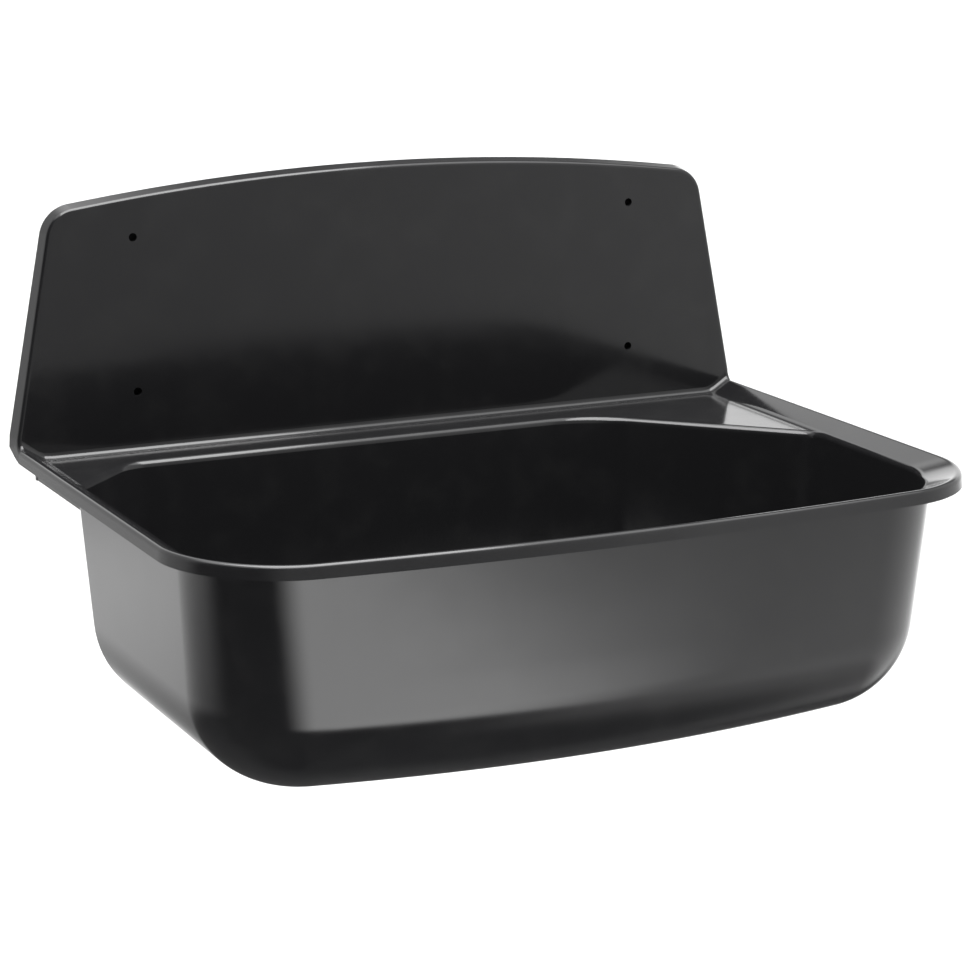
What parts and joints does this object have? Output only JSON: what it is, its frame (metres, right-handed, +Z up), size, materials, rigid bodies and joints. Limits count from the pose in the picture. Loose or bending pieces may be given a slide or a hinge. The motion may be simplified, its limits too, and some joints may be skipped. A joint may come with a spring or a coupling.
{
  "type": "wall-hung utility tub",
  "caption": "Wall-hung plastic tub for mixing and washing out: rounded basin, rim, rear ledge and tall splash-back in one moulding, with a strainer waste.",
  "frame": {"origin": "on the wall plane, in the middle of the rear foot that bears on the wall, 11.5 mm below the rim", "axes": "+X to the right seen from the front, +Y into the wall, +Z up; the tub stands out from the wall towards -Y"},
  "size_m": [0.5022, 0.3496, 0.3468],
  "materials": {
    "black_plastic": "satin to glossy moulded plastic",
    "grey_plastic": "satin moulded plastic",
    "rubber": "matte",
    "stainless": "satin",
    "brass": "turned"
  },
  "bodies": {
    "root": {"tub_shell": "black_plastic", "upper_seal": "rubber", "lower_seal": "rubber", "strainer_plate": "stainless", "centre_screw": "stainless", "thread_insert": "brass", "waste_body": "grey_plastic"}
  },
  "joints": []
}
